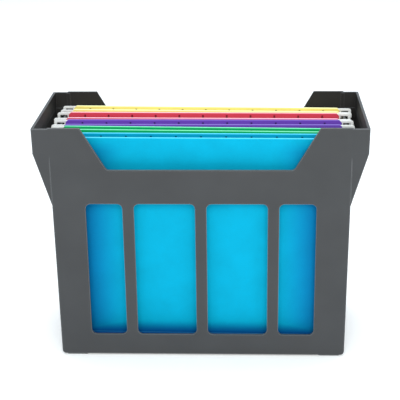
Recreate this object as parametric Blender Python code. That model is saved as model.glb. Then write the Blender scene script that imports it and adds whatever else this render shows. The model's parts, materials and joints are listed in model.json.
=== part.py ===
"""Desktop hanging file rack: one moulded tub and five coloured hanging folders.

Metres, +Z up. X runs along the rack's length, -Y is its front, and the origin is the middle of
the footprint at the level that the feet stand on. Each folder is a card of two panels that meet
at a scored fold, with a steel hanger in the hem of each panel. The hangers' hooks sit on the
two end walls of the tub, which stop short of the rim and serve as rails.
"""
import math

import bmesh
import bpy
from mathutils import Matrix, Vector

# Tub
RIM_Z = 0.2580
FOOT_HEIGHT = 0.0015
WALL = 0.0025
FLOOR_TOP_Z = FOOT_HEIGHT + WALL
BASE_HALF = (0.1534, 0.0700)
RIM_HALF = (0.1553, 0.0750)
CORNER_RADIUS = 0.0035
TOE_RADIUS = 0.0045
RAIL_TOP_Z = 0.2395

# Ears: the two flared ends that give the hooks room
FLARE_BOTTOM_Z = 0.1730
BAND_BOTTOM_Z = 0.2315
EAR_RIM_Z = RIM_Z - 0.0008
FLARE_HALF_X = (0.1546, 0.1717)
BAND_HALF_X = (0.1717, 0.1720)
FLARE_HALF_Y = (0.0714, 0.0741)
BAND_HALF_Y = (0.0744, 0.0749)
POCKET_INNER_X = 0.1549
POCKET_HALF_Y = 0.0707
PILASTER_WIDTH = 0.0038
PILASTER_PROUD = 0.0012

# Openings in the front and back panels
WINDOW_Z = (0.0251, 0.1762)
WINDOW_X = ((0.0059, 0.0697), (0.0815, 0.1199))
WINDOW_RADIUS = 0.0055
NOTCH_BOTTOM_Z = 0.2131
NOTCH_HALF_X = (0.0961, 0.1223)
NOTCH_RADIUS = 0.0045

# Feet
FOOT_X = (0.1252, 0.1488)
FOOT_Y = (0.0460, 0.0696)
FOOT_CHAMFER = 0.0006

# Folders
# Each one hangs a little askew: its name, the fold's middle in X and Y, half the distance between
# its hangers, its turn in degrees and its colour
FOLDERS = (
    ("yellow", (0.0010, 0.0543), 0.0078, -2.2, (0.93, 0.86, 0.27)),
    ("red", (-0.0012, 0.0269), 0.0113, -1.1, (0.60, 0.06, 0.08)),
    ("purple", (0.0000, 0.0003), 0.0090, -0.5, (0.15, 0.06, 0.38)),
    ("green", (0.0000, -0.0257), 0.0060, -2.2, (0.01, 0.29, 0.11)),
    ("blue", (0.0000, -0.0506), 0.0081, -1.2, (0.00, 0.50, 0.76)),
)
FOLD_Z = 0.0060
CARD_TOP_Z = 0.2435
CARD_HALF_X = 0.14925
CARD = 0.0005
CLEARANCE = 0.0003
HEM_CHAMFER = 0.0030
TAB_SLOTS = 11
TAB_SLOT_PITCH = 0.0262
TAB_SLOT_SIZE = (0.0015, 0.0084)

# Hangers
STRIP = 0.0010
BAR_Z = (0.2398, 0.2428)
HOOK_TIP_X = 0.1620
HOOK_NOTCH_X = (0.1508, 0.1590)
HOOK_NOTCH_TOP_Z = RAIL_TOP_Z + 0.00045
HOOK_LEG_X = CARD_HALF_X + 0.00035
HOOK_LEG_Z = 0.2365
HOOK_TIP_Z = 0.2363
HOOK_RADIUS = 0.0014

HEM_HALF = STRIP / 2 + CLEARANCE + CARD
EXTRUDE_ALONG_X = Matrix(((0, 0, 1, 0), (1, 0, 0, 0), (0, 1, 0, 0), (0, 0, 0, 1)))
EXTRUDE_ALONG_Y = Matrix.Rotation(math.radians(90), 4, "X")


def clear_scene():
    for obj in list(bpy.data.objects):
        bpy.data.objects.remove(obj)


def new_collection(name):
    group = bpy.data.collections.new(name)
    bpy.context.scene.collection.children.link(group)
    return group


def new_material(name, colour, roughness, metallic=0.0):
    material = bpy.data.materials.new(name)
    material.use_nodes = True
    shader = material.node_tree.nodes["Principled BSDF"]
    shader.inputs["Base Color"].default_value = (*colour, 1.0)
    shader.inputs["Roughness"].default_value = roughness
    shader.inputs["Metallic"].default_value = metallic
    material.diffuse_color = (*colour, 1.0)
    return material


def new_object(name, mesh, group, material=None):
    obj = bpy.data.objects.new(name, mesh)
    group.objects.link(obj)
    if material:
        mesh.materials.append(material)
    return obj


def new_empty(name, location, group, parent=None):
    empty = bpy.data.objects.new(name, None)
    empty.empty_display_size = 0.02
    empty.parent = parent
    empty.location = location
    group.objects.link(empty)
    return empty


def mesh_from(bm, name):
    bmesh.ops.recalc_face_normals(bm, faces=bm.faces)
    mesh = bpy.data.meshes.new(name)
    bm.to_mesh(mesh)
    bm.free()
    return mesh


def tapered_block(name, low, high, z_low, z_high, radius=0.0):
    """A block centred on the Z axis whose half sizes go from low to high, with round upright corners."""
    bm = bmesh.new()
    bmesh.ops.create_cube(bm, size=2.0)
    for vert in bm.verts:
        half = high if vert.co.z > 0 else low
        z = z_high if vert.co.z > 0 else z_low
        vert.co = Vector((vert.co.x * half[0], vert.co.y * half[1], z))
    if radius:
        upright = [e for e in bm.edges if abs(e.verts[0].co.z - e.verts[1].co.z) > 1e-6]
        bmesh.ops.bevel(bm, geom=upright, offset=radius, segments=4, profile=0.5, affect="EDGES")
    return mesh_from(bm, name)


def box(name, x, y, z):
    """A box between the two values given for each axis."""
    bm = bmesh.new()
    bmesh.ops.create_cube(bm, size=1.0)
    size = Vector((x[1] - x[0], y[1] - y[0], z[1] - z[0]))
    centre = Vector(((x[0] + x[1]) / 2, (y[0] + y[1]) / 2, (z[0] + z[1]) / 2))
    bmesh.ops.scale(bm, vec=size, verts=bm.verts)
    bmesh.ops.translate(bm, vec=centre, verts=bm.verts)
    return mesh_from(bm, name)


def extruded(name, outlines, half_depth, turn):
    """A flat outline, with any holes, given a thickness and turned to face along X or Y."""
    curve = bpy.data.curves.new(name, "CURVE")
    curve.dimensions = "2D"
    curve.fill_mode = "BOTH"
    curve.extrude = half_depth
    for outline in outlines:
        spline = curve.splines.new("POLY")
        spline.points.add(len(outline) - 1)
        for point, (u, v) in zip(spline.points, outline):
            point.co = (u, v, 0.0, 1.0)
        spline.use_cyclic_u = True
    source = bpy.data.objects.new(name, curve)
    bpy.context.scene.collection.objects.link(source)
    graph = bpy.context.evaluated_depsgraph_get()
    mesh = bpy.data.meshes.new_from_object(source.evaluated_get(graph))
    bpy.data.objects.remove(source)
    bm = bmesh.new()
    bm.from_mesh(mesh)
    bmesh.ops.remove_doubles(bm, verts=bm.verts, dist=1e-6)
    bmesh.ops.transform(bm, matrix=turn, verts=bm.verts)
    bpy.data.meshes.remove(mesh)
    return mesh_from(bm, name)


def arc(centre, radius, start_deg, end_deg, steps=4):
    """Points on an arc, both ends included."""
    angles = [math.radians(start_deg + (end_deg - start_deg) * i / steps) for i in range(steps + 1)]
    return [(centre[0] + radius * math.cos(a), centre[1] + radius * math.sin(a)) for a in angles]


def combine(target, mesh, operation, cutters):
    """Add or cut a helper shape with an exact Boolean."""
    helper = new_object(f"{target.name}_{mesh.name}", mesh, cutters)
    helper.parent = target.parent
    helper.hide_render = True
    helper.display_type = "WIRE"
    modifier = target.modifiers.new(mesh.name, "BOOLEAN")
    modifier.operation = operation
    modifier.solver = "EXACT"
    modifier.object = helper


def window_cutter(side, x_range):
    """A window's prism, with rounded corners, that passes through the front and back panels."""
    bm = bmesh.new()
    bmesh.ops.create_cube(bm, size=1.0)
    depth = 0.2
    bmesh.ops.scale(bm, vec=(x_range[1] - x_range[0], depth, WINDOW_Z[1] - WINDOW_Z[0]), verts=bm.verts)
    middle = Vector((side * sum(x_range) / 2, 0.0, sum(WINDOW_Z) / 2))
    bmesh.ops.translate(bm, vec=middle, verts=bm.verts)
    along_y = [e for e in bm.edges if abs(e.verts[0].co.y - e.verts[1].co.y) > depth / 2]
    bmesh.ops.bevel(bm, geom=along_y, offset=WINDOW_RADIUS, segments=4, profile=0.5, affect="EDGES")
    return mesh_from(bm, f"window_{'right' if side > 0 else 'left'}_{round(x_range[0] * 1000)}")


def notch_cutter():
    """The sloping cut in the middle of the front and back rims, with rounded lower corners."""
    over = 0.010
    slope = (NOTCH_HALF_X[1] - NOTCH_HALF_X[0]) / (RIM_Z - NOTCH_BOTTOM_Z)
    lean = math.degrees(math.atan(1 / slope))
    reach = NOTCH_RADIUS * math.tan(math.radians(lean / 2))
    centre = (NOTCH_HALF_X[0] - reach, NOTCH_BOTTOM_Z + NOTCH_RADIUS)
    corner = arc(centre, NOTCH_RADIUS, -90, -90 + lean)
    top = (NOTCH_HALF_X[1] + slope * over, RIM_Z + over)
    right = [*corner, top]
    left = [(-x, z) for x, z in reversed(right)]
    return extruded("notch", [right + left], 0.1, EXTRUDE_ALONG_Y)


def pocket_cutter(side):
    """The wedge between the end wall and an ear's sloping skin."""
    slope = (FLARE_HALF_X[1] - FLARE_HALF_X[0]) / (BAND_BOTTOM_Z - FLARE_BOTTOM_Z)
    skin = WALL * math.hypot(1.0, slope)
    inner_low_x = FLARE_HALF_X[0] - skin
    bottom_z = FLARE_BOTTOM_Z + (POCKET_INNER_X - inner_low_x) / slope
    top_x = FLARE_HALF_X[1] - skin
    over_z = RAIL_TOP_Z + 0.002
    outline = [(POCKET_INNER_X, bottom_z), (top_x, BAND_BOTTOM_Z), (top_x, over_z), (POCKET_INNER_X, over_z)]
    outline = [(side * x, z) for x, z in outline]
    name = f"pocket_{'right' if side > 0 else 'left'}"
    return extruded(name, [outline], POCKET_HALF_Y, EXTRUDE_ALONG_Y)


def toe_cutter(side):
    """What is taken off where an end wall rounds into the floor."""
    over = 0.003
    # The arc starts a hair outside the wall and the floor, so that it crosses both cleanly
    outer_x = BASE_HALF[0] + 0.00006
    low_z = FOOT_HEIGHT - 0.00006
    centre = (outer_x - TOE_RADIUS, low_z + TOE_RADIUS)
    outline = [(centre[0], low_z - over), *arc(centre, TOE_RADIUS, -90, 0), (outer_x + over, centre[1]),
               (outer_x + over, low_z - over)]
    outline = [(side * x, z) for x, z in outline]
    return extruded(f"toe_{'right' if side > 0 else 'left'}", [outline], BASE_HALF[1] + over, EXTRUDE_ALONG_Y)


def inset(half, amount):
    return (half[0] - amount, half[1] - amount)


def along(low, high, share):
    return tuple(a + (b - a) * share for a, b in zip(low, high))


def build_rack(group, cutters, material):
    """The tub: one moulding with its ears, rails, pilasters, windows and feet."""
    over = 0.010
    rise = RIM_Z - FOOT_HEIGHT
    body = tapered_block("rack_body", BASE_HALF, RIM_HALF, FOOT_HEIGHT, RIM_Z, CORNER_RADIUS)
    rack = new_object("rack_body", body, group, material)
    flare_low = (FLARE_HALF_X[0], FLARE_HALF_Y[0])
    flare_high = (FLARE_HALF_X[1], FLARE_HALF_Y[1])
    band_low = (BAND_HALF_X[0], BAND_HALF_Y[0])
    band_high = (BAND_HALF_X[1], BAND_HALF_Y[1])
    combine(rack, tapered_block("flare", flare_low, flare_high, FLARE_BOTTOM_Z, BAND_BOTTOM_Z + 0.0002),
            "UNION", cutters)
    combine(rack, tapered_block("band", band_low, band_high, BAND_BOTTOM_Z, EAR_RIM_Z, 0.0015),
            "UNION", cutters)

    well_low = inset(along(BASE_HALF, RIM_HALF, (FLOOR_TOP_Z - FOOT_HEIGHT) / rise), WALL)
    well_high = inset(along(BASE_HALF, RIM_HALF, 1 + over / rise), WALL)
    combine(rack, tapered_block("well", well_low, well_high, FLOOR_TOP_Z, RIM_Z + over, 0.0015),
            "DIFFERENCE", cutters)
    combine(rack, tapered_block("mouth", inset(band_low, WALL), inset(band_high, WALL), RAIL_TOP_Z,
                                RIM_Z + over, 0.0010), "DIFFERENCE", cutters)
    for side in (-1, 1):
        combine(rack, toe_cutter(side), "DIFFERENCE", cutters)
        combine(rack, pocket_cutter(side), "DIFFERENCE", cutters)
        for x_range in WINDOW_X:
            combine(rack, window_cutter(side, x_range), "DIFFERENCE", cutters)
    combine(rack, notch_cutter(), "DIFFERENCE", cutters)

    pilaster_x = (POCKET_INNER_X - WALL + 0.0002, POCKET_INNER_X - WALL + 0.0002 + PILASTER_WIDTH)
    pilaster_y = (BAND_HALF_Y[0] - WALL - PILASTER_PROUD, BAND_HALF_Y[0] - 0.001)
    pilaster_z = (RAIL_TOP_Z - 0.003, EAR_RIM_Z - 0.0004)
    for side in (-1, 1):
        end = "right" if side > 0 else "left"
        for face in (-1, 1):
            wall = "back" if face > 0 else "front"
            x = sorted(side * value for value in pilaster_x)
            y = sorted(face * value for value in pilaster_y)
            combine(rack, box(f"pilaster_{end}_{wall}", x, y, pilaster_z), "UNION", cutters)
            combine(rack, foot_block(end, wall, side, face), "UNION", cutters)


def foot_block(end, wall, side, face):
    """One corner pad, a little narrower at the bottom than where it leaves the floor."""
    half = ((FOOT_X[1] - FOOT_X[0]) / 2, (FOOT_Y[1] - FOOT_Y[0]) / 2)
    top_z = FOOT_HEIGHT + WALL / 2
    mesh = tapered_block(f"foot_{end}_{wall}", inset(half, FOOT_CHAMFER), half, 0.0, top_z)
    mesh.transform(Matrix.Translation((side * sum(FOOT_X) / 2, face * sum(FOOT_Y) / 2, 0.0)))
    return mesh


def panel_outlines(half_gap, side):
    """One panel's section and the slot in its hem, measured from the fold."""
    top = CARD_TOP_Z - FOLD_Z
    slot = (BAR_Z[0] - CLEARANCE - FOLD_Z, BAR_Z[1] + CLEARANCE - FOLD_Z)
    hem_bottom = slot[0] - CARD
    slot_half = STRIP / 2 + CLEARANCE
    inner_gap = CLEARANCE / 2
    section = [
        (half_gap + HEM_HALF, top),
        (inner_gap + CARD, 0.0),
        (inner_gap, 0.0),
        (half_gap + HEM_HALF - CARD, hem_bottom - HEM_HALF),
        (half_gap - HEM_HALF, hem_bottom),
        (half_gap - HEM_HALF, top),
    ]
    corners = ((1, slot[1]), (1, slot[0]), (-1, slot[0]), (-1, slot[1]))
    hole = [(half_gap + a * slot_half, z) for a, z in corners]
    return [[(side * y, z) for y, z in outline] for outline in (section, hole)]


def tab_slot_cutter(half_gap, side):
    """A row of upright slits under the back hem, where index tabs clip in."""
    bm = bmesh.new()
    top = BAR_Z[0] - CLEARANCE - CARD - 0.0003 - FOLD_Z
    for i in range(TAB_SLOTS):
        made = bmesh.ops.create_cube(bm, size=1.0)["verts"]
        bmesh.ops.scale(bm, vec=(TAB_SLOT_SIZE[0], 6 * HEM_HALF, TAB_SLOT_SIZE[1]), verts=made)
        x = (i - (TAB_SLOTS - 1) / 2) * TAB_SLOT_PITCH
        bmesh.ops.translate(bm, vec=(x, side * half_gap, top - TAB_SLOT_SIZE[1] / 2), verts=made)
    return mesh_from(bm, "tab_slots")


def hem_corner_cutter(half_gap, side):
    """Takes the two top corners off a hem at 45 degrees."""
    bm = bmesh.new()
    edge = HEM_CHAMFER * math.sqrt(2)
    for end in (-1, 1):
        made = bmesh.ops.create_cube(bm, size=1.0)["verts"]
        bmesh.ops.scale(bm, vec=(edge, 4 * HEM_HALF, edge), verts=made)
        bmesh.ops.rotate(bm, cent=(0, 0, 0), matrix=Matrix.Rotation(math.radians(45), 3, "Y"), verts=made)
        corner = (end * CARD_HALF_X, side * half_gap, CARD_TOP_Z - FOLD_Z)
        bmesh.ops.translate(bm, vec=corner, verts=made)
    return mesh_from(bm, "hem_corners")


def hanger_outline():
    """A hanger strip seen from the front: a bar with a hook at each end that straddles a rail."""
    r = HOOK_RADIUS
    bar_low, bar_high = (z - FOLD_Z for z in BAR_Z)
    leg_z, tip_z, ceiling = (z - FOLD_Z for z in (HOOK_LEG_Z, HOOK_TIP_Z, HOOK_NOTCH_TOP_Z))
    inner, outer = HOOK_NOTCH_X
    right = [
        (HOOK_LEG_X, bar_low),
        (HOOK_LEG_X, leg_z),
        (inner, leg_z),
        *arc((inner + r, ceiling - r), r, 180, 90),
        *arc((outer - r, ceiling - r), r, 90, 0),
        (outer, tip_z),
        (HOOK_TIP_X - r / 2, tip_z),
        (HOOK_TIP_X, tip_z + r / 2),
        *arc((HOOK_TIP_X - r, bar_high - r), r, 0, 90),
    ]
    return right + [(-x, z) for x, z in reversed(right)]


def build_folder(colour, middle, half_gap, turn, card_material, steel, group, cutters):
    """One hanging folder: two panels that meet at the fold, and a hanger in each hem."""
    folder = new_empty(f"{colour}_folder", (*middle, FOLD_Z), group)
    folder.rotation_euler.z = math.radians(turn)
    front_half = new_empty(f"{colour}_front_half", (0.0, 0.0, 0.0), group, folder)
    for half, side, parent in (("back", 1, folder), ("front", -1, front_half)):
        outlines = panel_outlines(half_gap, side)
        section = extruded(f"{colour}_{half}_panel", outlines, CARD_HALF_X, EXTRUDE_ALONG_X)
        panel = new_object(f"{colour}_{half}_panel", section, group, card_material)
        panel.parent = parent
        if half == "back":
            combine(panel, tab_slot_cutter(half_gap, side), "DIFFERENCE", cutters)
        combine(panel, hem_corner_cutter(half_gap, side), "DIFFERENCE", cutters)
        strip = extruded(f"{colour}_{half}_hanger", [hanger_outline()], STRIP / 2, EXTRUDE_ALONG_Y)
        strip.transform(Matrix.Translation((0.0, side * half_gap, 0.0)))
        hanger = new_object(f"{colour}_{half}_hanger", strip, group, steel)
        hanger.parent = parent


def main():
    clear_scene()
    group = new_collection("hanging_file_rack")
    cutters = new_collection("cutters")
    build_rack(group, cutters, new_material("charcoal_polystyrene", (0.095, 0.098, 0.105), 0.55))
    steel = new_material("coated_steel", (0.86, 0.87, 0.88), 0.35)
    for colour, middle, half_gap, turn, rgb in FOLDERS:
        card = new_material(f"{colour}_card", rgb, 0.8)
        build_folder(colour, middle, half_gap, turn, card, steel, group, cutters)
    bpy.context.view_layer.update()


main()
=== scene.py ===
"""The looks of a desktop hanging file rack: a moulded tub, five hanging folders and their hangers.

It is laid out as an add-on and run as a script. Each operator models one kind of piece around the
frame that is loaded here, and puts the tub and the hangers on the bodies that carry them. Sizes
are in metres unless a name says mm, X runs along the rack, -Y is its front and +Z is up.
"""
import json
import math

import bmesh
import bpy
from mathutils import Matrix, Vector, noise


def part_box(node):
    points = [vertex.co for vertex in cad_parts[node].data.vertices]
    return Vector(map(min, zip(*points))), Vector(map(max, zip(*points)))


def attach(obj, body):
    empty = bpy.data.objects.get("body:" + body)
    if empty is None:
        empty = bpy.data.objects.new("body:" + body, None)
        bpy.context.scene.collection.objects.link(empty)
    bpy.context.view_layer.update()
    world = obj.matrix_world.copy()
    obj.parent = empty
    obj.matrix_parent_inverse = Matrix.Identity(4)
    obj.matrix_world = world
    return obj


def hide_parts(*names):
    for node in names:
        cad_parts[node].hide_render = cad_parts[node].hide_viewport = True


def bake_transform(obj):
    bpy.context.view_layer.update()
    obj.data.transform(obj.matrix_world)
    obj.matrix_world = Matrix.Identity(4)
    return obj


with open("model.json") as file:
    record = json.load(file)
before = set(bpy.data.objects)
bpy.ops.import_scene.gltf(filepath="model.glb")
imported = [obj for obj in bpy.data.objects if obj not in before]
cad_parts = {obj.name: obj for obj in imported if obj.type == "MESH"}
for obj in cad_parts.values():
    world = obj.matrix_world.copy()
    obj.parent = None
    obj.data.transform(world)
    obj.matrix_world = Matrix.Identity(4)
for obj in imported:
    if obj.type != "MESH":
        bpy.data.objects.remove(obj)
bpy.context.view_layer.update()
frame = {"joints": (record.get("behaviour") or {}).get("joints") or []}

bl_info = {
    "name": "Hanging File Rack",
    "version": (1, 0, 0),
    "blender": (4, 5, 0),
    "location": "View3D > Sidebar > File Rack",
    "description": "Models a desktop tub with hanging folders around a fixed frame",
    "category": "Add Mesh",
}

MM = 0.001
COLOURS = ("yellow", "red", "purple", "green", "blue")
HALVES = (("back", 1), ("front", -1))

# The tub, measured from the frame's own box
RACK_LOW, RACK_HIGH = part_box("rack_body")
RIM_Z = RACK_HIGH.z
RIM_HALF = (RACK_HIGH.x - 16.7 * MM, RACK_HIGH.y)
BASE_HALF = (RACK_HIGH.x - 18.6 * MM, RACK_HIGH.y - 5.0 * MM)
FOOT_HEIGHT = 1.5 * MM
WALL = 2.5 * MM
FLOOR_TOP_Z = FOOT_HEIGHT + WALL
RAIL_TOP_Z = RIM_Z - 18.5 * MM
RAIL_OUTER_X = RACK_HIGH.x - 17.1 * MM

# The ears
EAR_RIM_Z = RIM_Z - 0.8 * MM
FLARE_Z = (RIM_Z - 85.0 * MM, RIM_Z - 26.5 * MM)
FLARE_LOW = (RACK_HIGH.x - 17.4 * MM, RACK_HIGH.y - 3.6 * MM)
FLARE_HIGH = (RACK_HIGH.x - 0.3 * MM, RACK_HIGH.y - 0.57 * MM)
BAND_LOW = FLARE_HIGH
BAND_HIGH = (RACK_HIGH.x, RACK_HIGH.y - 0.05 * MM)
# Half width of the wedge of room under each ear
POCKET_HALF_Y = RACK_HIGH.y - 4.3 * MM
# The width of the rib inside each ear, and how far it stands proud
PILASTER = (3.8 * MM, 1.2 * MM)

# Openings in the front and back panels
WINDOW_Z = (25.1 * MM, 176.2 * MM)
WINDOW_X = ((5.9 * MM, 69.7 * MM), (81.5 * MM, 119.9 * MM))
WINDOW_RADIUS = 5.5 * MM
DIP_BOTTOM_Z = RIM_Z - 44.9 * MM
DIP_HALF_X = (96.1 * MM, 122.3 * MM)
DIP_RADIUS = 4.5 * MM
CUT_HALF_DEPTH = 0.1

# Corner pads
PAD_X = (125.2 * MM, 148.8 * MM)
PAD_Y = (46.0 * MM, 69.6 * MM)
PAD_CHAMFER = 0.6 * MM
TOE_RADIUS = 4.5 * MM

# Folders and hangers: heights come from the frame, and half widths are along the folder
CARD_LOW_Z, CARD_TOP_Z = (corner.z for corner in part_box("blue_back_panel"))
HOOK_TIP_Z, HOOK_TOP_Z = (corner.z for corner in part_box("blue_back_hanger"))
CARD_HEIGHT = CARD_TOP_Z - CARD_LOW_Z
CARD_HALF_X = 149.25 * MM
HEM_SIDE = 0.85 * MM
HEM_CHAMFER = 3.0 * MM
HEM_DEPTH = 4.5 * MM
# How pale the card is painted at the points over the top of its hem: worn dye and a painted highlight
HEM_WEAR_AND_HIGHLIGHT = (0.0, 0.3, 0.8, 1.0, 1.0, 1.0, 0.8, 0.3, 0.0)
FLAP_DEPTH = 22.0 * MM
TAB_SLOTS = 11
TAB_SLOT_PITCH = 26.2 * MM
TAB_SLOT_WIDTH = 1.9 * MM
TAB_SLOT_DEPTH = (2.9 * MM, 13.0 * MM)
SCORE_HEIGHTS = (5.0 * MM, 9.0 * MM, 13.0 * MM)
BAR_HEIGHT = 3.0 * MM
# The bar is this much narrower inside the hem, and reaches its full height over this length
BAR_NECK = 1.3 * MM
BAR_SHOULDER = 8.0 * MM
HOOK_ARCH_X = (150.8 * MM, 159.0 * MM)
HOOK_TIP_X = 162.0 * MM
HOOK_SHOULDER = 2.6 * MM
STRIP = 1.0 * MM
FOLD_RADIUS = 0.6 * MM

# A panel's side view: how far its flap stands behind its face at three heights, and how it runs in
# to the fold, where the last share of its distance is lost in a tight curve
FLAP_BEHIND = (0.45 * MM, 1.1 * MM, 1.2 * MM)
DRAW_POWER = 1.5
GUSSET_SHARE = 0.2
GUSSET_HEIGHT = 9.0 * MM
ROW_STEP = 12.0 * MM
LOW_ROWS = (28.0 * MM, 20.0 * MM, 16.0 * MM)
# Across a score line: height from its middle in mm, depth in mm, wear
SCORE_SHAPE = ((0.6, 0.0, 0.0), (0.0, 0.15, 0.25), (-0.6, 0.0, 0.0))

# Where the cards are painted deeper as painted shade from the tub, from none of it to all of it
SHADED_BOTTOM_Z = (36.0 * MM, 18.0 * MM)
SHADED_END_X = (72.0 * MM, 135.0 * MM)
UNDER_RIM_Z = (240.0 * MM, 228.0 * MM)

# Most of a noise texture's values lie between these
NOISE_SPAN = (0.3, 0.7)

# The studio, in metres: each soft box's place, what it faces, its size and its tint
SOFT_BOXES = {
    "key": ((0.1, -1.9, 1.2), (0.0, 0.0, 0.12), (1.2, 1.0), (1.0, 1.0, 0.92)),
    "back": ((0.0, 1.7, 1.3), (0.0, 0.3, 0.0), (2.4, 0.8), (0.95, 0.98, 1.0)),
    "top": ((0.0, 0.1, 2.0), (0.0, 0.0, 0.1), (2.0, 1.6), (0.88, 0.95, 1.0)),
}
WALL_TINT = (0.85, 0.93, 1.0)
SWEEP_HALF = 8.0
CAMERA_SHIFT = (-0.0094, 0.0541)
SENSOR_WIDTH_MM = 36.0


def linear(hex_colour):
    """A linear RGB colour from an sRGB hex value."""
    values = [int(hex_colour[i:i + 2], 16) / 255 for i in (1, 3, 5)]
    return tuple(v / 12.92 if v <= 0.04045 else ((v + 0.055) / 1.055) ** 2.4 for v in values)


def colour_prop(name, description, hex_colour):
    return bpy.props.FloatVectorProperty(
        name=name, description=description, subtype="COLOR", size=3, min=0.0, max=1.0,
        default=linear(hex_colour))


class TubSettings(bpy.types.PropertyGroup):
    edge_radius: bpy.props.FloatProperty(
        name="Edge radius", description="Rounding that the mould leaves on every outer edge",
        default=0.55 * MM, min=0.1 * MM, max=1.0 * MM, unit="LENGTH")
    corner_radius: bpy.props.FloatProperty(
        name="Corner radius", description="Rounding of the tub's four upright corners",
        default=1.4 * MM, min=1.0 * MM, max=8.0 * MM, unit="LENGTH")
    grain: bpy.props.FloatProperty(
        name="Grain", description="Size of one grain of the moulded texture",
        default=0.9 * MM, min=0.1 * MM, max=3.0 * MM, unit="LENGTH")
    colour: colour_prop("Colour", "Colour of the plastic", "#3e3f41")
    wear_and_highlight_colour: colour_prop("Worn colour", "Colour of the rubbed edges", "#7a7c7f")
    inner_shade_colour: colour_prop("Core colour", "Colour of the inner faces", "#242322")


class FolderSettings(bpy.types.PropertyGroup):
    card: bpy.props.FloatProperty(
        name="Card", description="Thickness of the card", default=0.4 * MM, min=0.2 * MM, max=0.5 * MM,
        unit="LENGTH")
    bow: bpy.props.FloatProperty(
        name="Bow", description="How far a panel bows outwards at its middle", default=0.9 * MM, min=0.0,
        max=2.0 * MM, unit="LENGTH")
    yellow: colour_prop("Yellow", "Dye of the first folder", "#f8e888")
    red: colour_prop("Red", "Dye of the second folder", "#d8485c")
    purple: colour_prop("Purple", "Dye of the third folder", "#7048b8")
    green: colour_prop("Green", "Dye of the fourth folder", "#0aa862")
    blue: colour_prop("Blue", "Dye of the fifth folder", "#00a2c8")
    worn_yellow: colour_prop("Worn yellow", "Folded edges of the first folder", "#fffbc4")
    worn_red: colour_prop("Worn red", "Folded edges of the second folder", "#f6c4d4")
    worn_purple: colour_prop("Worn purple", "Folded edges of the third folder", "#8272bc")
    worn_green: colour_prop("Worn green", "Folded edges of the fourth folder", "#84e8bc")
    worn_blue: colour_prop("Worn blue", "Folded edges of the fifth folder", "#5cd4f8")


class HangerSettings(bpy.types.PropertyGroup):
    edge_radius: bpy.props.FloatProperty(
        name="Edge radius", description="Rounding of the stamped strip's edges", default=0.2 * MM,
        min=0.05 * MM, max=0.4 * MM, unit="LENGTH")
    arch_radius: bpy.props.FloatProperty(
        name="Arch radius", description="Rounding inside a hook, where it passes over the rail",
        default=1.0 * MM, min=0.3 * MM, max=1.2 * MM, unit="LENGTH")
    colour: colour_prop("Colour", "Colour of the coated steel", "#f6f7f8")


class StageSettings(bpy.types.PropertyGroup):
    azimuth: bpy.props.FloatProperty(
        name="Azimuth", description="Turn of the camera to the rack's right", default=math.radians(2.44),
        subtype="ANGLE")
    elevation: bpy.props.FloatProperty(
        name="Elevation", description="Height of the camera above the rack's middle",
        default=math.radians(20.83), subtype="ANGLE")
    roll: bpy.props.FloatProperty(
        name="Roll", description="Turn of the camera about its own line of sight",
        default=math.radians(-0.71), subtype="ANGLE")
    distance: bpy.props.FloatProperty(
        name="Distance", description="From the camera to the rack's middle", default=1.294, unit="LENGTH")
    lens: bpy.props.FloatProperty(
        name="Lens", description="Focal length in millimetres on a 36 mm sensor", default=105.16)
    key_power: bpy.props.FloatProperty(
        name="Key light", description="Power of the large soft box in front", default=27.0, unit="POWER")
    back_power: bpy.props.FloatProperty(
        name="Back light", description="Power of the soft box behind, on the paper", default=9.0,
        unit="POWER")
    top_power: bpy.props.FloatProperty(
        name="Top light", description="Power of the soft box above", default=24.0, unit="POWER")
    world_strength: bpy.props.FloatProperty(
        name="Surroundings", description="Brightness of the white studio walls", default=0.72)
    floor_glow: bpy.props.FloatProperty(
        name="Floor glow", description="Light that the paper sweep passes from lamps under it", default=0.15)
    floor_colour: colour_prop("Floor", "Colour of the paper sweep", "#f6f6f6")


# ---------------------------------------------------------------- mesh helpers

def mesh_from(bm, name):
    bmesh.ops.recalc_face_normals(bm, faces=bm.faces)
    mesh = bpy.data.meshes.new(name)
    bm.to_mesh(mesh)
    bm.free()
    return mesh


def place(name, mesh):
    obj = bpy.data.objects.new(name, mesh)
    bpy.context.scene.collection.objects.link(obj)
    return obj


def settle(obj):
    """Applies every modifier."""
    graph = bpy.context.evaluated_depsgraph_get()
    mesh = bpy.data.meshes.new_from_object(obj.evaluated_get(graph), depsgraph=graph)
    obj.modifiers.clear()
    obj.data = mesh
    mesh.name = obj.name
    return obj


def finish_piece(obj, body, slot, material, *nodes):
    """Gives a piece its material and body and hides the nodes that it stands for; the slot is not used."""
    obj.data.materials.clear()
    obj.data.materials.append(material)
    if body:
        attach(obj, body)
    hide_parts(*nodes)


def tapered_block(low, high, z_low, z_high, radius=0.0, segments=6):
    """A block on the Z axis whose half sizes go from low to high, with round upright corners."""
    bm = bmesh.new()
    bmesh.ops.create_cube(bm, size=2.0)
    for vert in bm.verts:
        half = high if vert.co.z > 0 else low
        z = z_high if vert.co.z > 0 else z_low
        vert.co = Vector((vert.co.x * half[0], vert.co.y * half[1], z))
    if radius:
        upright = [e for e in bm.edges if abs(e.verts[0].co.z - e.verts[1].co.z) > 0.01 * MM]
        bmesh.ops.bevel(bm, geom=upright, offset=radius, segments=segments, profile=0.5, affect="EDGES")
    return mesh_from(bm, "block")


def arc(centre, radius, start_deg, end_deg, steps=6):
    """Points on an arc, both ends included."""
    angles = [math.radians(start_deg + (end_deg - start_deg) * i / steps) for i in range(steps + 1)]
    return [(centre[0] + radius * math.cos(a), centre[1] + radius * math.sin(a)) for a in angles]


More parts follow.
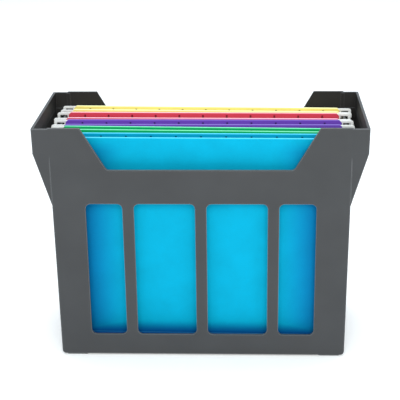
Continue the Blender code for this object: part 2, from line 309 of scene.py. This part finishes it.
def prism(outline, half_depth):
    """A flat outline in X and Z, made solid along Y."""
    bm = bmesh.new()
    face = bm.faces.new([bm.verts.new((x, -half_depth, z)) for x, z in outline])
    made = bmesh.ops.extrude_face_region(bm, geom=[face])["geom"]
    moved = [item for item in made if isinstance(item, bmesh.types.BMVert)]
    bmesh.ops.translate(bm, vec=(0.0, 2 * half_depth, 0.0), verts=moved)
    return mesh_from(bm, "prism")


def boolean(obj, mesh, operation):
    """Adds or cuts a helper shape and leaves a plain mesh."""
    helper = place("helper", mesh)
    modifier = obj.modifiers.new("shape", "BOOLEAN")
    modifier.operation = operation
    modifier.solver = "EXACT"
    modifier.object = helper
    settle(obj)
    bpy.data.objects.remove(helper)


def tidy_faces(obj):
    """Joins what the Booleans left split, so that each flat wall is one face."""
    bm = bmesh.new()
    bm.from_mesh(obj.data)
    bmesh.ops.remove_doubles(bm, verts=bm.verts, dist=0.01 * MM)
    bmesh.ops.dissolve_limit(bm, angle_limit=math.radians(0.6), verts=bm.verts, edges=bm.edges)
    bm.to_mesh(obj.data)
    bm.free()


def inset(half, amount):
    return (half[0] - amount, half[1] - amount)


def between(low, high, share):
    return tuple(a + (b - a) * share for a, b in zip(low, high))


# ---------------------------------------------------------------- materials

def add_node(tree, kind, links=None, **settings):
    """Adds a node and returns it.

    The settings are the node's attributes or, by their names, its inputs' values. The links are its
    inputs' sources.
    """
    node = tree.nodes.new(kind)
    for name, value in settings.items():
        if hasattr(node, name):
            setattr(node, name, value)
        else:
            node.inputs[name.replace("_", " ")].default_value = value
    for name, source in (links or {}).items():
        tree.links.new(source, node.inputs[name])
    return node


def new_material(name, **constants):
    """A material and its shader, with the inputs that are the same all over set on the shader."""
    material = bpy.data.materials.new(name)
    material.use_nodes = True
    tree = material.node_tree
    shader = tree.nodes["Principled BSDF"]
    for key, value in constants.items():
        shader.inputs[key.replace("_", " ")].default_value = value
    return material, tree, shader


def feed(tree, socket, colour):
    """Gives a socket a colour, which is a constant or another node's output."""
    if isinstance(colour, bpy.types.NodeSocket):
        tree.links.new(colour, socket)
    else:
        socket.default_value = (*colour, 1.0)[:len(socket.default_value)]


def cloudy(tree, place_on, size, **settings):
    """Noise whose clouds or grains are about one size wide."""
    node = add_node(tree, "ShaderNodeTexNoise", {"Vector": place_on}, Scale=1 / size, **settings)
    return node.outputs["Fac"]


def remapped(tree, value, span, reach, **settings):
    """A value moved from one span of numbers to another."""
    node = add_node(tree, "ShaderNodeMapRange", {"Value": value}, From_Min=span[0], From_Max=span[1],
                    To_Min=reach[0], To_Max=reach[1], **settings)
    return node.outputs["Result"]


def worked_out(tree, operation, *values, **settings):
    """One or two values put through an operation."""
    node = add_node(tree, "ShaderNodeMath", dict(enumerate(values)), operation=operation, **settings)
    return node.outputs["Value"]


def tinted(tree, colour, factor):
    """A colour times a factor."""
    node = add_node(tree, "ShaderNodeVectorMath", {"Scale": factor}, operation="SCALE")
    feed(tree, node.inputs[0], colour)
    return node.outputs["Vector"]


def mixed(tree, factor, first, second):
    """The first colour where the factor is 0, and the second one where it is 1."""
    node = add_node(tree, "ShaderNodeMix", {"Factor": factor}, data_type="RGBA")
    feed(tree, node.inputs["A"], first)
    feed(tree, node.inputs["B"], second)
    return node.outputs["Result"]


def finish_shader(tree, shader, colour, roughness, height, strength, depth):
    """Joins a colour, a roughness and a bump to the shader."""
    bump = add_node(tree, "ShaderNodeBump", {"Height": height}, Strength=strength, Distance=depth)
    tree.links.new(colour, shader.inputs["Base Color"])
    tree.links.new(roughness, shader.inputs["Roughness"])
    tree.links.new(bump.outputs["Normal"], shader.inputs["Normal"])


def moulded_polystyrene(tub):
    """High-impact polystyrene, injection moulded in a spark-eroded mould.

    It has a dry, even charcoal face with fine grain. It is paler along its edges, where hands and
    other boxes have rubbed them and where a painted highlight stands for light on their radius. Its
    inner faces are painted darker, as painted shade.
    """
    material, tree, shader = new_material("charcoal_moulded_polystyrene", IOR=1.59,
                                          Specular_IOR_Level=0.2)
    place_on = add_node(tree, "ShaderNodeTexCoord").outputs["Object"]
    grain = cloudy(tree, place_on, tub.grain, Detail=3.0, Roughness=0.6)
    flow = cloudy(tree, place_on, 45 * MM, Detail=3.0)
    # Resin cools a little unevenly, which leaves clouds a few centimetres wide
    outside = tinted(tree, tub.colour, remapped(tree, flow, NOISE_SPAN, (0.93, 1.07)))
    # Painted shade: the inner faces, on the mould's core side, are painted darker than the outer ones
    core = add_node(tree, "ShaderNodeAttribute", attribute_name="core_side").outputs["Fac"]
    unworn = mixed(tree, core, outside, tub.inner_shade_colour)
    # Paler along the rounded edges: rubbing, and a painted highlight where the radius catches light
    rounded = add_node(tree, "ShaderNodeBevel", samples=4, Radius=1.2 * MM).outputs["Normal"]
    flat = add_node(tree, "ShaderNodeNewGeometry").outputs["Normal"]
    facing = add_node(tree, "ShaderNodeVectorMath", {0: rounded, 1: flat}, operation="DOT_PRODUCT")
    edge_wear_and_highlight = remapped(tree, facing.outputs["Value"], (0.999, 0.94), (0.0, 0.65))
    # Hands rarely reach the inner edges
    reached = remapped(tree, core, (0.0, 1.0), (1.0, 0.2))
    colour = mixed(tree, worked_out(tree, "MULTIPLY", edge_wear_and_highlight, reached), unworn, tub.wear_and_highlight_colour)
    dull = remapped(tree, grain, NOISE_SPAN, (0.50, 0.62))
    finish_shader(tree, shader, colour, dull, grain, 0.35, 0.08 * MM)
    return material


def dyed_card(name, colour, wear_and_highlight_colour):
    """Card stock dyed in the pulp and calendered.

    Its face is matt, with faint clouds of dye and short fibres that run along the sheet. The dye
    cracks where the card is folded over, which leaves the folds paler; the pale tops of the hems are
    also a painted highlight. The card is painted deeper, as painted shade, towards its bottom and
    ends and inside its hems.
    """
    material, tree, shader = new_material(f"{name}_dyed_card", IOR=1.47, Specular_IOR_Level=0.08)
    place_on = add_node(tree, "ShaderNodeTexCoord").outputs["Object"]
    along = add_node(tree, "ShaderNodeMapping", {"Vector": place_on}, Scale=(0.22, 1.0, 1.0))
    # Fibres are about 0.2 mm wide, and drawn three times as wide so that they show
    fibre = cloudy(tree, along.outputs["Vector"], 0.6 * MM, Detail=4.0, Roughness=0.65, Distortion=0.4)
    cloud = cloudy(tree, place_on, 22 * MM, Detail=3.0)
    dye = remapped(tree, worked_out(tree, "ADD", fibre, cloud), (0.7, 1.3), (0.93, 1.05))
    # Painted shade: deeper towards the card's bottom and, below the rim, its ends, where the tub shades it
    place = add_node(tree, "ShaderNodeSeparateXYZ", {"Vector": place_on})
    bottom = remapped(tree, place.outputs["Z"], SHADED_BOTTOM_Z, (0.0, 1.0), interpolation_type="SMOOTHSTEP")
    ends = remapped(tree, worked_out(tree, "ABSOLUTE", place.outputs["X"]), SHADED_END_X, (0.0, 0.8),
                    interpolation_type="SMOOTHSTEP")
    under_rim = remapped(tree, place.outputs["Z"], UNDER_RIM_Z, (0.0, 1.0))
    shaded = worked_out(tree, "MAXIMUM", bottom, worked_out(tree, "MULTIPLY", ends, under_rim))
    painted_shade_colour = [0.6 * c * (c / max(colour)) ** 2 for c in colour]
    face = tinted(tree, mixed(tree, shaded, colour, painted_shade_colour), dye)
    # Painted shade inside the hems, which shows through the tab slots
    glue = add_node(tree, "ShaderNodeAttribute", attribute_name="glue").outputs["Fac"]
    pocket_shaded = tinted(tree, face, remapped(tree, glue, (0.0, 1.0), (1.0, 0.4)))
    # Paler folds: cracked dye, and on the hem tops a painted highlight
    crease = add_node(tree, "ShaderNodeAttribute", attribute_name="crease").outputs["Fac"]
    fold_wear_and_highlight = worked_out(tree, "MULTIPLY", crease, dye, use_clamp=True)
    dull = remapped(tree, fibre, NOISE_SPAN, (0.62, 0.78))
    finish_shader(tree, shader, mixed(tree, fold_wear_and_highlight, pocket_shaded, wear_and_highlight_colour), dull, fibre, 0.25, 0.05 * MM)
    return material


def coated_steel(hanger):
    """Cold-rolled steel strip with a baked white epoxy coat: pale and even, with a soft shine.

    The coat is slightly orange-peeled.
    """
    material, tree, shader = new_material("white_coated_steel", IOR=1.55, Specular_IOR_Level=0.5)
    place_on = add_node(tree, "ShaderNodeTexCoord").outputs["Object"]
    peel = cloudy(tree, place_on, 0.8 * MM, Detail=2.0)
    colour = tinted(tree, hanger.colour, remapped(tree, peel, NOISE_SPAN, (0.92, 1.0)))
    dull = remapped(tree, peel, NOISE_SPAN, (0.26, 0.36))
    finish_shader(tree, shader, colour, dull, peel, 0.15, 0.02 * MM)
    return material


def paper_sweep(stage):
    """Matt white background paper: a faint tooth and no shine."""
    material, tree, shader = new_material(
        "white_background_paper", Roughness=0.9, Specular_IOR_Level=0.2,
        Emission_Color=(1.0, 1.0, 1.0, 1.0), Emission_Strength=stage.floor_glow)
    place_on = add_node(tree, "ShaderNodeTexCoord").outputs["Object"]
    tooth = cloudy(tree, place_on, 3 * MM, Detail=2.0)
    face = tinted(tree, stage.floor_colour, remapped(tree, tooth, (0.0, 1.0), (0.99, 1.0)))
    tree.links.new(face, shader.inputs["Base Color"])
    return material


# ---------------------------------------------------------------- the tub

def window_cutter(side, x_range):
    """A window's prism, with rounded corners, through the front and back panels."""
    r = WINDOW_RADIUS
    (x0, x1), (z0, z1) = x_range, WINDOW_Z
    outline = [
        *arc((x1 - r, z1 - r), r, 0, 90), *arc((x0 + r, z1 - r), r, 90, 180),
        *arc((x0 + r, z0 + r), r, 180, 270), *arc((x1 - r, z0 + r), r, 270, 360),
    ]
    return prism([(side * x, z) for x, z in outline], CUT_HALF_DEPTH)


def dip_cutter():
    """The sloping cut in the middle of the front and back rims, with rounded lower corners."""
    over = 10.0 * MM
    slope = (DIP_HALF_X[1] - DIP_HALF_X[0]) / (RIM_Z - DIP_BOTTOM_Z)
    lean = math.degrees(math.atan(1 / slope))
    reach = DIP_RADIUS * math.tan(math.radians(lean / 2))
    corner = arc((DIP_HALF_X[0] - reach, DIP_BOTTOM_Z + DIP_RADIUS), DIP_RADIUS, -90, -90 + lean)
    right = [*corner, (DIP_HALF_X[1] + slope * over, RIM_Z + over)]
    return prism(right + [(-x, z) for x, z in reversed(right)], CUT_HALF_DEPTH)


def pocket_cutter(side):
    """The wedge between an end wall and the sloping skin of its ear."""
    slope = (FLARE_HIGH[0] - FLARE_LOW[0]) / (FLARE_Z[1] - FLARE_Z[0])
    skin = WALL * math.hypot(1.0, slope)
    bottom_z = FLARE_Z[0] + (RAIL_OUTER_X - FLARE_LOW[0] + skin) / slope
    over_z = RAIL_TOP_Z + 2.0 * MM
    top_x = FLARE_HIGH[0] - skin
    outline = [(RAIL_OUTER_X, bottom_z), (top_x, FLARE_Z[1]), (top_x, over_z), (RAIL_OUTER_X, over_z)]
    return prism([(side * x, z) for x, z in outline], POCKET_HALF_Y)


def toe_cutter(side):
    """What is taken off where an end wall rounds into the floor."""
    over = 3.0 * MM
    # The arc starts a hair outside the wall and the floor, so that it crosses both cleanly
    outer_x, low_z = BASE_HALF[0] + 0.06 * MM, FOOT_HEIGHT - 0.06 * MM
    centre = (outer_x - TOE_RADIUS, low_z + TOE_RADIUS)
    outline = [(centre[0], low_z - over), *arc(centre, TOE_RADIUS, -90, 0, 8), (outer_x + over, centre[1]),
               (outer_x + over, low_z - over)]
    return prism([(side * x, z) for x, z in outline], BASE_HALF[1] + over)


def pilaster(side, face):
    """The upright rib inside a panel where an end wall meets it."""
    inner_x = RAIL_OUTER_X - WALL + 0.2 * MM
    width, proud = PILASTER
    low_y = BAND_LOW[1] - WALL - proud
    half = (width / 2, (BAND_LOW[1] - 1.0 * MM - low_y) / 2)
    mesh = tapered_block(half, half, RAIL_TOP_Z - 3.0 * MM, EAR_RIM_Z - 0.4 * MM)
    mesh.transform(Matrix.Translation((side * (inner_x + width / 2), face * (low_y + half[1]), 0.0)))
    return mesh


def corner_pad(side, face):
    """A moulded pad under one corner, a little narrower where it stands."""
    half = ((PAD_X[1] - PAD_X[0]) / 2, (PAD_Y[1] - PAD_Y[0]) / 2)
    mesh = tapered_block(inset(half, PAD_CHAMFER), half, RACK_LOW.z, FOOT_HEIGHT + WALL / 2, 1.5 * MM)
    mesh.transform(Matrix.Translation((side * sum(PAD_X) / 2, face * sum(PAD_Y) / 2, 0.0)))
    return mesh


def mark_core_side(mesh):
    """Marks the faces that the mould's core makes: inner walls, floor, rails and the insides of the ears."""
    core = mesh.attributes.new("core_side", "FLOAT", "FACE")
    for face, value in zip(mesh.polygons, core.data):
        centre, normal = face.center, face.normal
        inner_panel = normal.y * centre.y < -0.6 * abs(centre.y)
        beyond_windows = abs(centre.x) > WINDOW_X[1][1]
        inner_end = normal.x * centre.x < -0.6 * abs(centre.x) and beyond_windows
        floor = normal.z > 0.6 and centre.z < FLOOR_TOP_Z + 1.0 * MM
        rail = abs(centre.x) < RAIL_OUTER_X + 0.5 * MM and centre.z > FLARE_Z[0] and beyond_windows
        value.value = float(inner_panel or inner_end or floor or rail and centre.z < RAIL_TOP_Z + 0.5 * MM)


def model_tub(tub):
    """One moulding with its ears, rails, ribs, windows and pads, and a radius on every edge."""
    over = 10.0 * MM
    rise = RIM_Z - FOOT_HEIGHT
    shell = place("tub", tapered_block(BASE_HALF, RIM_HALF, FOOT_HEIGHT, RIM_Z, tub.corner_radius))
    boolean(shell, tapered_block(FLARE_LOW, FLARE_HIGH, FLARE_Z[0], FLARE_Z[1] + 0.2 * MM), "UNION")
    boolean(shell, tapered_block(BAND_LOW, BAND_HIGH, FLARE_Z[1], EAR_RIM_Z, 1.5 * MM), "UNION")
    well_low = inset(between(BASE_HALF, RIM_HALF, (FLOOR_TOP_Z - FOOT_HEIGHT) / rise), WALL)
    well_high = inset(between(BASE_HALF, RIM_HALF, 1 + over / rise), WALL)
    boolean(shell, tapered_block(well_low, well_high, FLOOR_TOP_Z, RIM_Z + over, 1.5 * MM), "DIFFERENCE")
    boolean(shell, tapered_block(inset(BAND_LOW, WALL), inset(BAND_HIGH, WALL), RAIL_TOP_Z, RIM_Z + over,
                                 1.0 * MM), "DIFFERENCE")
    for side in (-1, 1):
        boolean(shell, toe_cutter(side), "DIFFERENCE")
        boolean(shell, pocket_cutter(side), "DIFFERENCE")
        for x_range in WINDOW_X:
            boolean(shell, window_cutter(side, x_range), "DIFFERENCE")
        for face in (-1, 1):
            boolean(shell, pilaster(side, face), "UNION")
            boolean(shell, corner_pad(side, face), "UNION")
    boolean(shell, dip_cutter(), "DIFFERENCE")
    tidy_faces(shell)
    edges = shell.modifiers.new("edges", "BEVEL")
    edges.width = tub.edge_radius
    edges.segments = 3
    edges.limit_method = "ANGLE"
    edges.angle_limit = math.radians(28)
    edges.miter_outer = "MITER_ARC"
    edges.harden_normals = True
    settle(shell)
    shell.data.shade_smooth()
    mark_core_side(shell.data)
    weighted = shell.modifiers.new("shading", "WEIGHTED_NORMAL")
    weighted.keep_sharp = True
    return shell


# ---------------------------------------------------------------- folders

def folder_place(colour):
    """A folder's place, with its origin on the fold and X along it, and half its hangers' distance."""
    fold = next(joint for joint in frame["joints"] if joint["child"] == f"{colour}_front_half")
    turn = math.atan2(fold["axis"][1], fold["axis"][0])
    at_fold = Matrix.Translation(fold["pos_m"]) @ Matrix.Rotation(turn, 4, "Z")
    low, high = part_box(f"{colour}_back_hanger")
    return at_fold, (at_fold.inverted() @ ((low + high) / 2)).y


def half_profile(half_gap):
    """Points (y, z, crease, is flap) of a panel's side view, from its flap over the hem to the fold."""
    top = CARD_HEIGHT
    arc_z = top - HEM_SIDE - 0.2 * MM
    hem_z = top - HEM_DEPTH
    outer, inner = half_gap + HEM_SIDE, half_gap - HEM_SIDE

    def panel_y(z):
        """Straight under the hem, then drawn in to the fold by the weight of the sheet."""
        drawn = 1 - (1 - min(z / hem_z, 1.0)) ** DRAW_POWER
        gusset = 1 - math.exp(-z / GUSSET_HEIGHT)
        return FOLD_RADIUS + (outer - FOLD_RADIUS) * ((1 - GUSSET_SHARE) * drawn + GUSSET_SHARE * gusset)

    slot_high, slot_low = (top - depth for depth in TAB_SLOT_DEPTH)
    flap = zip((top - FLAP_DEPTH, slot_low - 2.0 * MM, slot_low), FLAP_BEHIND)
    points = [(panel_y(z) - behind, z, 0.0, True) for z, behind in flap]
    points += [(inner, hem_z, 0.0, True), (inner, slot_high, 0.0, True)]
    points.append((inner, arc_z - 0.8 * MM, 0.0, False))
    hem_arc = arc((half_gap, arc_z), HEM_SIDE, 180, 0, 8)
    points += [(y, z, HEM_WEAR_AND_HIGHLIGHT[i], False) for i, (y, z) in enumerate(hem_arc)]
    points += [(outer, arc_z - 0.8 * MM, 0.0, False), (outer, hem_z, 0.0, False)]
    rows = [hem_z - 1.5 * MM, slot_low]
    rows += [slot_low - ROW_STEP * i for i in range(1, int((slot_low - 24 * MM) / ROW_STEP))]
    rows += LOW_ROWS
    points += [(panel_y(z), z, 0.0, False) for z in rows]
    for height in reversed(SCORE_HEIGHTS):
        for shift, depth, wear_and_highlight in SCORE_SHAPE:
            z = height + shift * MM
            points.append((panel_y(z) - depth * MM, z, wear_and_highlight, False))
    points.append((panel_y(2.5 * MM), 2.5 * MM, 0.1, False))
    points += [(y, z, 0.5, False) for y, z in arc((0.0, FOLD_RADIUS + 0.2 * MM), FOLD_RADIUS, 0, -90, 4)]
    return points


def card_columns():
    """Places along X for the card's columns of faces, with a narrow one for every tab slot."""
    end = CARD_HALF_X
    xs = [-end, end, -end + 3.75 * MM, end - 3.75 * MM]
    for i in range(TAB_SLOTS):
        middle = (i - (TAB_SLOTS - 1) / 2) * TAB_SLOT_PITCH
        xs += [middle - TAB_SLOT_WIDTH / 2, middle + TAB_SLOT_WIDTH / 2]
        xs += [middle + TAB_SLOT_PITCH / 2] if i < TAB_SLOTS - 1 else []
    return sorted(xs)


def is_slot(x0, x1):
    return abs((x1 - x0) - TAB_SLOT_WIDTH) < 0.01 * MM


def mark_pocket_shade(mesh, at_fold, half_gap):
    """Marks the panel's faces inside each hem, which are painted darker as painted shade."""
    glue = mesh.attributes.new("glue", "FLOAT", "FACE")
    to_fold = at_fold.inverted()
    turn = to_fold.to_3x3()
    for face, value in zip(mesh.polygons, glue.data):
        centre, normal = to_fold @ face.center, turn @ face.normal
        behind_flap = centre.z > CARD_HEIGHT - FLAP_DEPTH + 2.0 * MM and abs(centre.y) > half_gap
        faces_in = normal.y * math.copysign(1.0, centre.y) < -0.7
        value.value = float(behind_flap and faces_in)


def model_card(colour, folders):
    """One sheet, folded in a V: both hems are folded over and glued, and the back flap has tab slots."""
    at_fold, half_gap = folder_place(colour)
    half = half_profile(half_gap)
    profile = [(*point, 1) for point in half]
    profile += [(-y, z, wear_and_highlight, flap, -1) for y, z, wear_and_highlight, flap in reversed(half[:-1])]
    xs = card_columns()
    slot_high, slot_low = (CARD_HEIGHT - depth for depth in TAB_SLOT_DEPTH)
    seed = COLOURS.index(colour) * 7.3
    bm = bmesh.new()
    crease = bm.verts.layers.float.new("crease")
    rows = []
    for y, z, wear_and_highlight, _, side in profile:
        share = min(max(z / (CARD_HEIGHT - FLAP_DEPTH), 0.0), 1.0)
        row = []
        for x in xs:
            cut = max(0.0, z - (CARD_HEIGHT - HEM_CHAMFER)) if abs(abs(x) - CARD_HALF_X) < 0.01 * MM else 0.0
            across = 1 - (x / CARD_HALF_X) ** 2
            ripple = noise.noise(Vector((x * 9, z * 9, seed + side)))
            bow = folders.bow * math.sin(math.pi * share) * (0.6 + 0.4 * across + 0.5 * ripple)
            vert = bm.verts.new((x - math.copysign(cut, x), y + side * bow, z))
            vert[crease] = wear_and_highlight
            row.append(vert)
        rows.append(row)
    for (upper, lower), (a, b) in zip(zip(profile, profile[1:]), zip(rows, rows[1:])):
        slotted = upper[3] and lower[3] and upper[4] == 1 and min(upper[1], lower[1]) > slot_low - 0.01 * MM
        for i in range(len(xs) - 1):
            if not (slotted and is_slot(xs[i], xs[i + 1])):
                bm.faces.new((a[i], a[i + 1], b[i + 1], b[i]))
    mesh = mesh_from(bm, f"{colour}_card")
    mesh.transform(at_fold)
    card = place(f"{colour}_card", mesh)
    thick = card.modifiers.new("thickness", "SOLIDIFY")
    thick.thickness = folders.card
    thick.offset = 0.0
    thick.use_even_offset = True
    settle(card)
    mark_pocket_shade(card.data, at_fold, half_gap)
    card.data.shade_smooth()
    card.data.set_sharp_from_angle(angle=math.radians(40))
    return card, at_fold


# ---------------------------------------------------------------- hangers

def hanger_outline(hanger):
    """Half of a hanger strip seen from the front: its bar, the leg inside the rail, the arch and the tip."""
    top, low = HOOK_TOP_Z - CARD_LOW_Z, HOOK_TIP_Z - CARD_LOW_Z
    bar_low = top - BAR_HEIGHT
    arch_z = bar_low + 0.15 * MM
    leg_x = CARD_HALF_X + 0.35 * MM
    inner, outer = HOOK_ARCH_X
    r = hanger.arch_radius
    return [
        (leg_x - BAR_SHOULDER, bar_low + BAR_NECK), (leg_x - 0.5 * BAR_SHOULDER, bar_low),
        (leg_x, bar_low), (leg_x, low + 0.2 * MM), (inner, low + 0.2 * MM),
        *arc((inner + r, arch_z - r), r, 180, 90), *arc((outer - r, arch_z - r), r, 90, 0),
        (outer, low), (HOOK_TIP_X - 0.7 * MM, low), (HOOK_TIP_X, low + 0.7 * MM),
        *arc((HOOK_TIP_X - HOOK_SHOULDER, top - HOOK_SHOULDER), HOOK_SHOULDER, 0, 90),
    ]


def model_hanger(colour, half, side, hanger):
    """A stamped strip with a hook at each end, at its place in a hem."""
    right = hanger_outline(hanger)
    at_fold, half_gap = folder_place(colour)
    mesh = prism(right + [(-x, z) for x, z in reversed(right)], STRIP / 2)
    mesh.transform(at_fold @ Matrix.Translation((0.0, side * half_gap, 0.0)))
    strip = place(f"{colour}_{half}_hanger_strip", mesh)
    edges = strip.modifiers.new("edges", "BEVEL")
    edges.width = hanger.edge_radius
    edges.segments = 2
    edges.limit_method = "ANGLE"
    edges.angle_limit = math.radians(50)
    settle(strip)
    strip.data.shade_smooth()
    strip.data.set_sharp_from_angle(angle=math.radians(35))
    return strip


# ---------------------------------------------------------------- stage

def camera_matrix(stage):
    """The camera's place: it circles the rack's middle, looks at it and then rolls."""
    a, e, r = stage.azimuth, stage.elevation, stage.roll
    back = Vector((math.sin(a) * math.cos(e), -math.cos(a) * math.cos(e), math.sin(e)))
    right = Vector((math.cos(a), math.sin(a), 0.0))
    up = back.cross(right)
    rolled_right = math.cos(r) * right + math.sin(r) * up
    rolled_up = -math.sin(r) * right + math.cos(r) * up
    middle = Vector((0.0, 0.0, RIM_Z / 2))
    turn = Matrix((rolled_right, rolled_up, back)).transposed().to_4x4()
    return Matrix.Translation(middle + back * stage.distance) @ turn


def soft_box(name, place_at, aim, size, tint, power):
    """A rectangular area light that faces a point."""
    data = bpy.data.lights.new(name, "AREA")
    data.shape = "RECTANGLE"
    data.size, data.size_y = size
    data.energy = power
    data.color = tint
    light = bpy.data.objects.new(name, data)
    light.location = place_at
    light.rotation_euler = (Vector(aim) - Vector(place_at)).to_track_quat("-Z", "Y").to_euler()
    bpy.context.scene.collection.objects.link(light)


def model_stage(stage):
    """A pale paper sweep, soft boxes in front, behind and above, and the camera."""
    scene = bpy.context.scene
    bm = bmesh.new()
    bmesh.ops.create_grid(bm, x_segments=8, y_segments=8, size=SWEEP_HALF)
    floor = place("floor", mesh_from(bm, "floor"))
    floor.data.materials.append(paper_sweep(stage))

    world = bpy.data.worlds.new("studio")
    world.use_nodes = True
    sky = world.node_tree.nodes["Background"]
    sky.inputs["Color"].default_value = (*WALL_TINT, 1.0)
    sky.inputs["Strength"].default_value = stage.world_strength
    scene.world = world
    scene.view_settings.view_transform = "Standard"

    for name, where in SOFT_BOXES.items():
        soft_box(name, *where, getattr(stage, f"{name}_power"))

    data = bpy.data.cameras.new("camera")
    data.sensor_width = SENSOR_WIDTH_MM
    data.lens = stage.lens
    data.shift_x, data.shift_y = CAMERA_SHIFT
    camera = bpy.data.objects.new("camera", data)
    camera.matrix_world = camera_matrix(stage)
    scene.collection.objects.link(camera)
    scene.camera = camera


# ---------------------------------------------------------------- operators and panel

class FILERACK_OT_tub(bpy.types.Operator):
    """Model the moulded tub"""
    bl_idname = "filerack.tub"
    bl_label = "Tub"

    def execute(self, context):
        settings = context.scene.rack_tub
        tub = model_tub(settings)
        finish_piece(tub, "rack", "rack_plastic", moulded_polystyrene(settings), "rack_body")
        return {"FINISHED"}


class FILERACK_OT_cards(bpy.types.Operator):
    """Model the folded cards of the hanging folders"""
    bl_idname = "filerack.cards"
    bl_label = "Folder cards"

    def execute(self, context):
        folders = context.scene.rack_folders
        for colour in COLOURS:
            card, at_fold = model_card(colour, folders)
            finish_piece(card, None, f"{colour}_card",
                         dyed_card(colour, getattr(folders, colour), getattr(folders, f"worn_{colour}")),
                         f"{colour}_back_panel", f"{colour}_front_panel")
            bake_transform(card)
        return {"FINISHED"}


class FILERACK_OT_hangers(bpy.types.Operator):
    """Model the steel hangers in the folders' hems"""
    bl_idname = "filerack.hangers"
    bl_label = "Hangers"

    def execute(self, context):
        settings = context.scene.rack_hangers
        steel = coated_steel(settings)
        for colour in COLOURS:
            for half, side in HALVES:
                body = f"{colour}_folder" if side > 0 else f"{colour}_front_half"
                strip = model_hanger(colour, half, side, settings)
                finish_piece(strip, body, "hanger_steel", steel, f"{colour}_{half}_hanger")
        return {"FINISHED"}


class FILERACK_OT_stage(bpy.types.Operator):
    """Set up the paper sweep, the lights and the camera"""
    bl_idname = "filerack.stage"
    bl_label = "Stage"

    def execute(self, context):
        model_stage(context.scene.rack_stage)
        return {"FINISHED"}


OPERATORS = (FILERACK_OT_stage, FILERACK_OT_tub, FILERACK_OT_cards, FILERACK_OT_hangers)


class FILERACK_PT_panel(bpy.types.Panel):
    """Lists the rack's pieces and their settings"""
    bl_label = "Hanging File Rack"
    bl_idname = "FILERACK_PT_panel"
    bl_space_type = "VIEW_3D"
    bl_region_type = "UI"
    bl_category = "File Rack"

    def draw(self, context):
        layout = self.layout
        for operator in OPERATORS:
            layout.operator(operator.bl_idname)
        for name in SETTINGS:
            group = getattr(context.scene, name)
            box = layout.box()
            for key in group.bl_rna.properties.keys():
                if key not in ("rna_type", "name"):
                    box.prop(group, key)


SETTINGS = {
    "rack_tub": TubSettings,
    "rack_folders": FolderSettings,
    "rack_hangers": HangerSettings,
    "rack_stage": StageSettings,
}


def register():
    for name, group in SETTINGS.items():
        bpy.utils.register_class(group)
        setattr(bpy.types.Scene, name, bpy.props.PointerProperty(type=group))
    for item in (*OPERATORS, FILERACK_PT_panel):
        bpy.utils.register_class(item)


def unregister():
    for item in (FILERACK_PT_panel, *reversed(OPERATORS)):
        bpy.utils.unregister_class(item)
    for name, group in SETTINGS.items():
        delattr(bpy.types.Scene, name)
        bpy.utils.unregister_class(group)


def main():
    register()
    bpy.ops.filerack.stage()
    bpy.ops.filerack.tub()
    bpy.ops.filerack.cards()
    bpy.ops.filerack.hangers()


if __name__ == "__main__":
    main()
